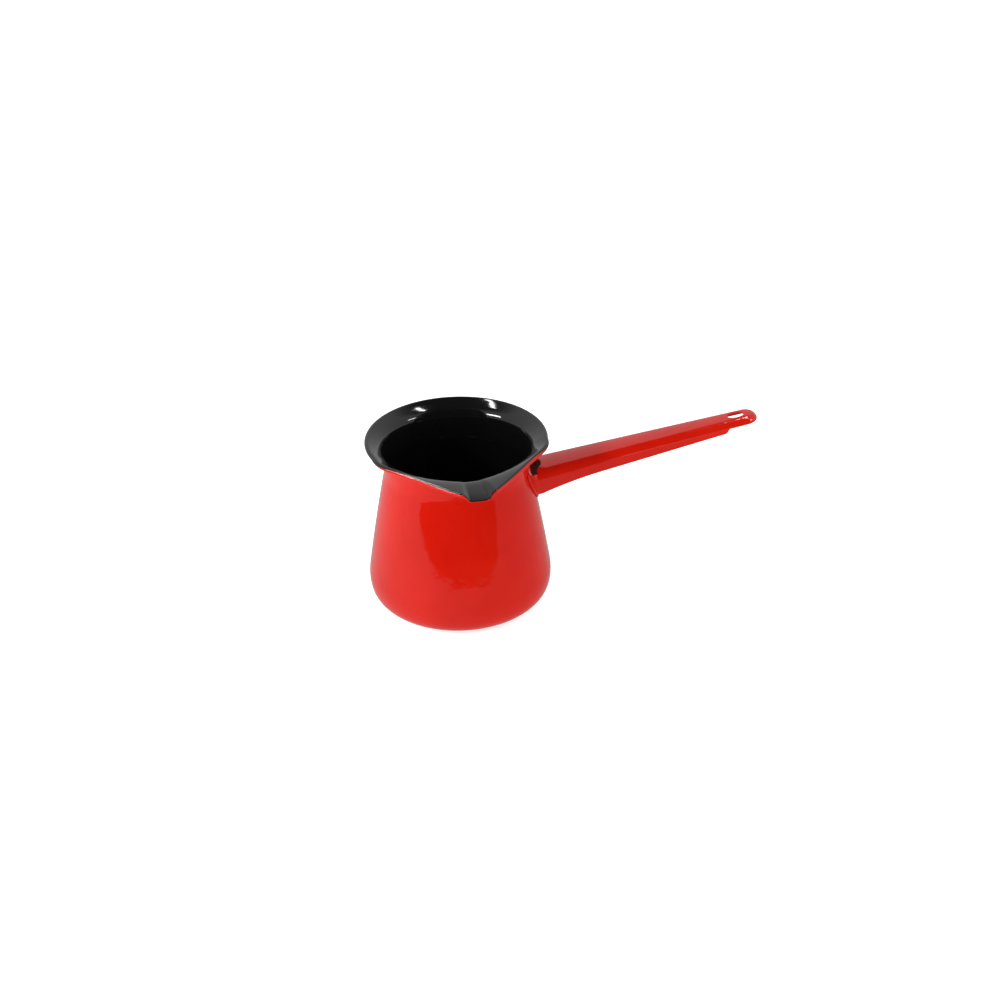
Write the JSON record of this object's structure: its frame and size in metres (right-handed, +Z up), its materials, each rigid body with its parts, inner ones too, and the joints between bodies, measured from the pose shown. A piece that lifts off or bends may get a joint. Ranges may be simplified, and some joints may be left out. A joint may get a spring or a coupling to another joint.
{
  "type": "cezve coffee pot",
  "caption": "Small enamelled steel coffee pot with a rounded body, narrow neck, flared rolled rim, drawn pour lip and a long open channel handle with a hanging hole.",
  "frame": {"origin": "centre of the underside of the base, on the surface the pot stands on", "axes": "+Z up the pot's axis, +X along the handle, the pour lip towards -Y"},
  "size_m": [0.2049, 0.1045, 0.0901],
  "materials": {
    "steel": "bare deep-drawn sheet, hidden under the enamel",
    "red_enamel": "glossy red vitreous enamel",
    "black_enamel": "glossy black vitreous enamel"
  },
  "bodies": {
    "root": {"pot_shell": "steel", "outer_enamel": "red_enamel", "inner_enamel": "black_enamel", "base_enamel": "red_enamel", "handle_shell": "steel", "handle_enamel": "red_enamel", "spot_welds": "steel"}
  },
  "joints": []
}
